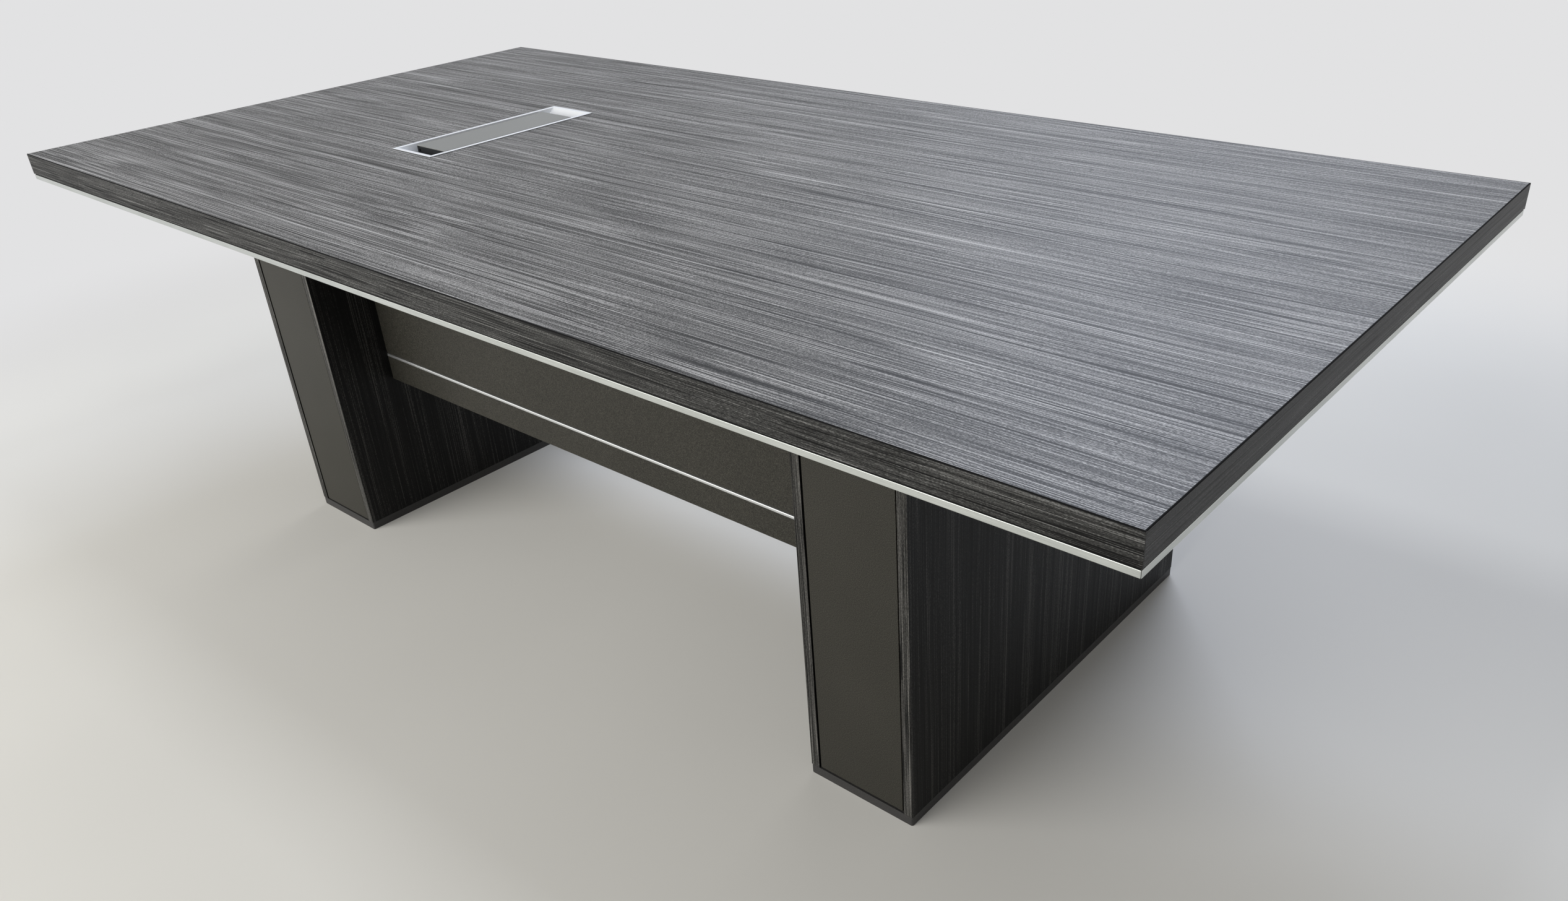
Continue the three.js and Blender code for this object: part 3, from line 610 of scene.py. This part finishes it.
def make_pedestal(side):
    for name in ("inner", "outer"):
        board(f"{side}_{name}_panel", shaded_side_laminate, BOARD_EASE, side_edging)
        eased_copy(f"{side}_{name}_cleat", zinc, METAL_EASE)
    for name in ("front", "back"):
        board(f"{side}_{name}_panel", taupe_foil, PANEL_EASE)
        board(f"{side}_{name}_spreader", black_board, BOARD_EASE)
    eased_copy(f"{side}_base_plate", black_board, BOARD_EASE)
    for number in range(1, 5):
        make_leveller(f"{side}_leveller_{number}")


def make_leveller(part):
    """Levelling foot: a moulded pad on a threaded stud."""
    low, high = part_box(part)
    pad = (high.x - low.x) / 2 / MM
    top = (high.z - low.z) / MM
    profile = [(0, 0), (pad - FOOT_CHAMFER, 0), (pad, FOOT_CHAMFER), (pad, FOOT_HEIGHT - 1), (pad - 1, FOOT_HEIGHT)]
    turns = int((top - FOOT_HEIGHT) / THREAD_PITCH)
    for turn in range(turns):
        root = FOOT_HEIGHT + turn * THREAD_PITCH
        profile += [(STUD_RADIUS - THREAD_DEPTH, root), (STUD_RADIUS, root + THREAD_PITCH / 2)]
    profile += [(STUD_RADIUS - THREAD_DEPTH, top), (0, top)]
    bm = turned_solid(profile, ((low.x + high.x) / 2, (low.y + high.y) / 2, low.z))
    for face in bm.faces:
        face.material_index = 0 if face.calc_center_median().z < low.z + FOOT_HEIGHT * MM else 1
    finished(part + "_foot", bm, [black_plastic, zinc], [part], part)


def make_stretcher(side):
    for name in ("upper", "lower"):
        board(f"{side}_stretcher_{name}", taupe_foil, PANEL_EASE)
    part = f"{side}_stretcher_strip"
    bm = frame_copy(part)
    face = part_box(part)[0 if side == "front" else 1].y
    ease(bm, [edge for edge in bm.edges if all(near(v.co.y, face) for v in edge.verts)], STRIP_EASE, 4)
    finished(part + "_fitting", bm, [strip_aluminium_with_painted_light], [part])
    for end in ("left", "right"):
        make_bracket(side, end)


def make_bracket(side, end):
    """Steel angle in the corner of a stretcher and a pedestal, with two screws in each leg."""
    part = f"stretcher_bracket_{side}_{end}"
    eased_copy(part, zinc, METAL_EASE)
    low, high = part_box(part)
    post, inward = (low.x, 1) if end == "left" else (high.x, -1)
    rear, backward = (low.y, 1) if side == "front" else (high.y, -1)
    wall, leg, up = ANGLE_WALL * MM, ANGLE_SCREW_IN * MM, ANGLE_SCREW_UP * MM
    places = []
    for height in (low.z + up, high.z - up):
        places.append(((post + inward * leg, rear + backward * wall, height), (0, backward, 0)))
        places.append(((post + inward * wall, rear + backward * leg, height), (inward, 0, 0)))
    screws(part, "large", places)


# Power module

def make_bezel():
    """White moulded frame. A groove parts its lip in two ridges, and the rim under the lip is painted black as the
    lip's shadow.
    """
    low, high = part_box("module_bezel")
    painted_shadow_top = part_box("tabletop_panel")[1].z + PAINTED_SHADOW_TOP * MM
    bm = frame_copy("module_bezel")
    lip = [face for face in bm.faces if face.normal.z > 0.9 and near(face.calc_center_median().z, high.z)]
    bmesh.ops.inset_region(
        bm, faces=lip, thickness=LIP_RIDGE * MM, depth=-LIP_GROOVE * MM, use_boundary=True, use_even_offset=True,
    )
    ease(bm, sharp_edges(bm), LIP_EASE)
    whole = bm.verts[:] + bm.edges[:] + bm.faces[:]
    bmesh.ops.bisect_plane(bm, geom=whole, plane_co=(0, 0, painted_shadow_top), plane_no=(0, 0, 1))
    # Painted shadow: the outer rim below this height, under the lip, is given black.
    for face in bm.faces:
        centre = face.calc_center_median()
        rim = min(centre.x - low.x, high.x - centre.x, centre.y - low.y, high.y - centre.y)
        under_lip = painted_shadow_top - PAINTED_SHADOW_TOP * MM < centre.z < painted_shadow_top
        face.material_index = 1 if under_lip and rim < LIP_EASE * MM else 0
    finished("module_bezel_fitting", bm, [white_moulding, edging_core_and_painted_shade], ["module_bezel"])


def make_module_screws():
    """Screws of the clamps under the top, and of the sockets under the lid."""
    wall = ANGLE_WALL * MM
    for part, away in (("module_clamp_front", -1), ("module_clamp_back", 1)):
        low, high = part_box(part)
        middle = (low.x + high.x) / 2
        near_end, far_end = (high.y, low.y) if away < 0 else (low.y, high.y)
        foot = (middle, near_end + away * wall, low.z + CLAMP_SCREW_UP * MM)
        bearing = (middle, far_end - away * CLAMP_SCREW_IN * MM, high.z - wall)
        screws(part, "large", [(foot, (0, away, 0)), (bearing, (0, 0, -1))])
    low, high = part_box("socket_plate")
    middle = (low + high) / 2
    out_x, out_y = [length * MM for length in PLATE_SCREWS]
    corners = [(x, y, high.z) for x in (middle.x - out_x, middle.x + out_x) for y in (-out_y, out_y)]
    screws("socket_plate", "middle", [(corner, (0, 0, 1)) for corner in corners])
    for part in ("outlet_front", "outlet_back"):
        low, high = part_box(part)
        screws(part, "small", [((middle.x, (low.y + high.y) / 2, high.z), (0, 0, 1))])
    low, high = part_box("comms_insert")
    rows = (low.y + INSERT_SCREW_IN * MM, high.y - INSERT_SCREW_IN * MM)
    screws("comms_insert", "small", [((middle.x, row, high.z), (0, 0, 1)) for row in rows])


def make_module():
    make_bezel()
    eased_copy("module_housing", sheet_steel, METAL_EASE)
    eased_copy("socket_plate", sheet_steel, METAL_EASE)
    for part in ("outlet_front", "outlet_back", "comms_insert", "power_inlet"):
        eased_copy(part, black_plastic, METAL_EASE)
    for part in ("lid_bracket_front", "lid_bracket_back", "module_clamp_front", "module_clamp_back"):
        eased_copy(part, zinc, METAL_EASE)
    eased_copy("lid_hinge_rod", black_oxide, METAL_EASE)
    eased_copy("lid_skirt", black_plastic, METAL_EASE, "lid")
    make_module_screws()
    low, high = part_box("lid_plate")
    bm = block(low, high)
    ease(bm, [edge for edge in bm.edges if near(edge.verts[0].co.z, edge.verts[1].co.z)], MOULDING_EASE)
    finished("lid_plate_cover", bm, [grey_paint], ["lid_plate"], "lid")


# Stage, camera and lamps

def shown_rays(tree):
    """1 for rays from the camera, and from mirrors and glass, which see the pale background as it is."""
    path = node(tree, "LightPath")
    shown = path.outputs["Is Camera Ray"]
    for kind in ("Is Glossy Ray", "Is Transmission Ray"):
        shown = node(tree, "Math", {0: shown, 1: path.outputs[kind]}, operation="MAXIMUM").outputs[0]
    return shown


def make_stage():
    """A pale floor that runs out into the background."""
    material, tree, shader = start_material("pale_floor", Roughness=0.9)
    place = node(tree, "TexCoord").outputs["Object"]
    away = node(tree, "VectorMath", {0: place}, operation="LENGTH").outputs["Value"]
    fade = node(
        tree, "MapRange", {"Value": away, "From Min": FADE_START, "From Max": FADE_END}, interpolation_type="SMOOTHSTEP",
    )
    cloud = grains(tree, place, [900] * 3, 2.0)
    ramp = node(tree, "ValToRGB", {"Fac": cloud})
    set_ramp(ramp, [(0.0, "#e8e7e3"), (1.0, "#edece8")])
    tree.links.new(ramp.outputs[0], shader.inputs["Base Color"])
    pale = node(tree, "Emission", {"Color": linear(BACKGROUND), "Strength": 1.0})
    share = node(tree, "Math", {0: fade.outputs[0], 1: shown_rays(tree)}, operation="MULTIPLY")
    mix = node(tree, "MixShader", {0: share.outputs[0], 1: shader.outputs[0], 2: pale.outputs[0]})
    tree.links.new(mix.outputs[0], tree.nodes["Material Output"].inputs["Surface"])
    bm = bmesh.new()
    bmesh.ops.create_circle(bm, cap_ends=True, segments=64, radius=FLOOR_RADIUS)
    mesh = bpy.data.meshes.new("floor")
    bm.to_mesh(mesh)
    bm.free()
    mesh.materials.append(material)
    floor = bpy.data.objects.new("floor", mesh)
    bpy.context.scene.collection.objects.link(floor)


def make_lamp(name, place, aim, size, power, code):
    lamp = bpy.data.lights.new(name, "AREA")
    lamp.shape = "RECTANGLE"
    lamp.size, lamp.size_y = size
    lamp.energy = power
    lamp.color = linear(code)[:3]
    holder = bpy.data.objects.new(name, lamp)
    holder.location = place
    holder.rotation_euler = (Vector(aim) - Vector(place)).to_track_quat("-Z", "Y").to_euler()
    holder.visible_camera = False
    bpy.context.scene.collection.objects.link(holder)
    return holder


def make_world():
    """Even white light, with the pale background where the camera and mirrors look past the floor."""
    world = bpy.data.worlds.new("studio")
    bpy.context.scene.world = world
    world.use_nodes = True
    tree = world.node_tree
    fill = tree.nodes["Background"]
    fill.inputs["Color"].default_value = linear("#fffdfa")
    fill.inputs["Strength"].default_value = WORLD_LEVEL
    shown = node(tree, "Background", {"Color": linear(BACKGROUND), "Strength": 1.0})
    mix = node(tree, "MixShader", {0: shown_rays(tree), 1: fill.outputs[0], 2: shown.outputs[0]})
    tree.links.new(mix.outputs[0], tree.nodes["World Output"].inputs["Surface"])


def make_camera():
    data = bpy.data.cameras.new("camera")
    data.sensor_width = CAMERA_SENSOR
    data.lens = CAMERA_LENS
    data.shift_x, data.shift_y = CAMERA_SHIFT
    camera = bpy.data.objects.new("camera", data)
    turn = Matrix.Rotation(math.radians(CAMERA_TURN_DEG), 4, "Z")
    dip = Matrix.Rotation(math.radians(90 - CAMERA_DIP_DEG), 4, "X")
    roll = Matrix.Rotation(math.radians(CAMERA_ROLL_DEG), 4, "Z")
    camera.matrix_world = Matrix.Translation(CAMERA_PLACE_METRES) @ turn @ dip @ roll
    bpy.context.scene.collection.objects.link(camera)
    bpy.context.scene.camera = camera


make_camera()
make_stage()
make_world()
make_lamp("ceiling_lamp", CEILING_PLACE, (CEILING_PLACE[0], CEILING_PLACE[1], 0), CEILING_SIZE, CEILING_POWER, "#f8fbff")
make_lamp("front_lamp", FRONT_PLACE, FRONT_AIM, FRONT_SIZE, FRONT_POWER, "#fffdf8")
make_lamp("back_lamp", BACK_PLACE, BACK_AIM, BACK_SIZE, BACK_POWER, "#e0eaff")
make_lamp("bounce_lamp", BOUNCE_PLACE, BOUNCE_AIM, BOUNCE_SIZE, BOUNCE_POWER, "#fffdf8").visible_glossy = False
make_tabletop()
for side, turn in SIDE_TURNS.items():
    make_edge_band(side, turn)
    make_trim(side, turn)
for side in ("left", "right"):
    make_pedestal(side)
for side in ("front", "back"):
    make_stretcher(side)
make_module()

bpy.context.scene.view_settings.view_transform = "Standard"
